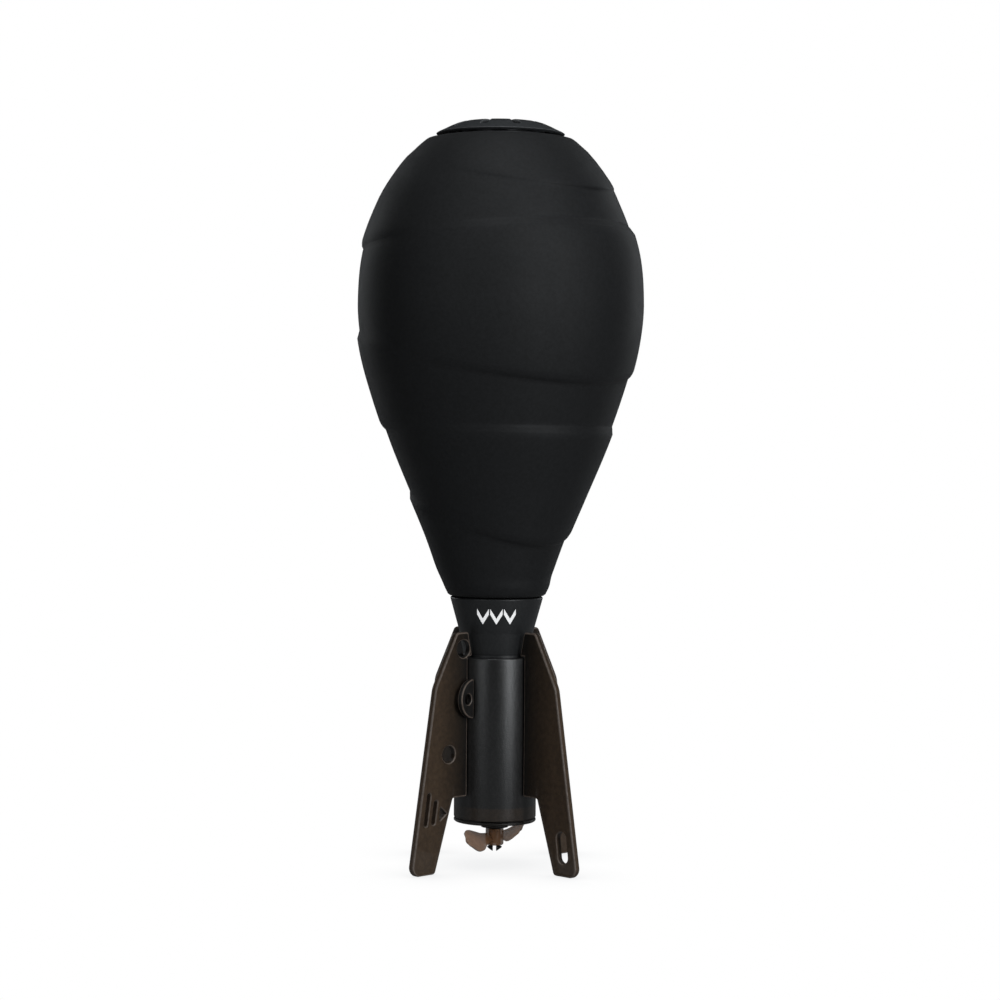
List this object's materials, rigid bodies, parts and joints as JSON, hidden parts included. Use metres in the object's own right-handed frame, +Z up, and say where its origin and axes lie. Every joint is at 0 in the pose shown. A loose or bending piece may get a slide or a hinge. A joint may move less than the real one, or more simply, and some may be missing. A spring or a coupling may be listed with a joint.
{
  "type": "dust blower bulb",
  "caption": "Squeeze-bulb air blower: ridged teardrop rubber bulb with a vented cap, stored nozzle-down in a finned tubular stand with a small rotor underneath.",
  "frame": {"origin": "on the bulb's axis, at the level of the fins' feet", "axes": "+Z up along the bulb's axis, the front towards -Y"},
  "size_m": [0.0618, 0.0617, 0.1606],
  "materials": {
    "bulb_rubber": "matte black silicone rubber, slightly powdery",
    "valve_rubber": "soft dark rubber",
    "black_plastic": "fine matte black moulding",
    "collar_plastic": "smooth matte black moulding with a small white pad print",
    "grey_plastic": "dark grey moulding",
    "tube_plastic": "satin smoked plastic over a black liner, fine grain",
    "smoked_plastic": "translucent smoked brown plastic, satin, light at its edges",
    "filter_foam": "open-cell filter foam",
    "steel_screen": "thin perforated sheet",
    "axle_plastic": "black moulding",
    "rotor_plastic": "thin translucent smoked brown plastic"
  },
  "bodies": {
    "stand": {"stand_tube": "tube_plastic", "fin_front_left": "smoked_plastic", "fin_front_right": "smoked_plastic", "fin_rear_left": "smoked_plastic", "fin_rear_right": "smoked_plastic", "lanyard_tab": "tube_plastic", "tube_liner": "black_plastic", "end_cap": "tube_plastic", "rotor_axle": "axle_plastic"},
    "rotor": {"propeller": "rotor_plastic"},
    "blower": {"bulb": "bulb_rubber", "neck_collar": "collar_plastic", "bulb_spigot": "black_plastic", "outlet_valve_seat": "grey_plastic", "nozzle": "black_plastic", "intake_housing": "grey_plastic", "filter_screen": "steel_screen", "filter_pad": "filter_foam"},
    "cap": {"vent_cap": "black_plastic"},
    "intake_valve": {"intake_valve_disc": "valve_rubber"},
    "outlet_valve": {"outlet_valve_disc": "valve_rubber"}
  },
  "joints": [
    {"name": "rotor_spin", "type": "hinge", "parent": "stand", "child": "rotor", "pos_m": [0, 0, 0.0061], "axis": [0, 0, 1], "continuous": true},
    {"name": "blower_lift", "type": "slide", "parent": "stand", "child": "blower", "axis": [0, 0, 1], "range_m": [0, 0.045]},
    {"name": "cap_lift", "type": "slide", "parent": "blower", "child": "cap", "axis": [0, 0, 1], "range_m": [0, 0.012]},
    {"name": "intake_flap", "type": "slide", "parent": "blower", "child": "intake_valve", "axis": [0, 0, -1], "range_m": [0, 0.0008], "stiffness_N_per_m": 30},
    {"name": "outlet_flap", "type": "slide", "parent": "blower", "child": "outlet_valve", "axis": [0, 0, -1], "range_m": [0, 0.0008], "stiffness_N_per_m": 30}
  ]
}
